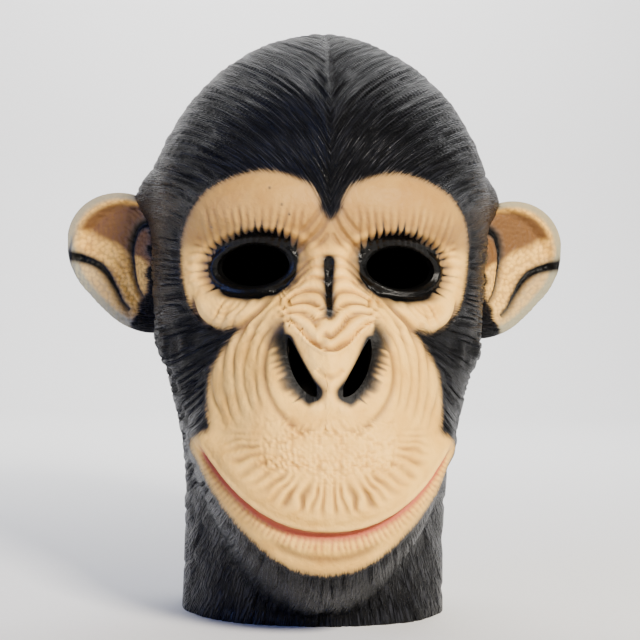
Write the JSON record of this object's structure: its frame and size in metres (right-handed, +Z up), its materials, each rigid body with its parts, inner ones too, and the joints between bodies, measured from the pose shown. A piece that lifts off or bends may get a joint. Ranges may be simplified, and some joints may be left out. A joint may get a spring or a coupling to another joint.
{
  "type": "chimpanzee mask",
  "caption": "Full-head chimpanzee mask moulded in one piece from latex, hollow, with open eyes and nostrils and cupped ears, standing on its neck rim.",
  "frame": {"origin": "middle of the mask's box, on the plane of its neck rim, which it stands on", "axes": "+Z up to the crown, -Y the way the face looks, +X the wearer's left"},
  "size_m": [0.2804, 0.2482, 0.316],
  "materials": {
    "latex": "satin latex, painted: black hair, cream face and ears, glossy black eye rims"
  },
  "bodies": {
    "root": {"mask_skin": "latex"}
  },
  "joints": []
}
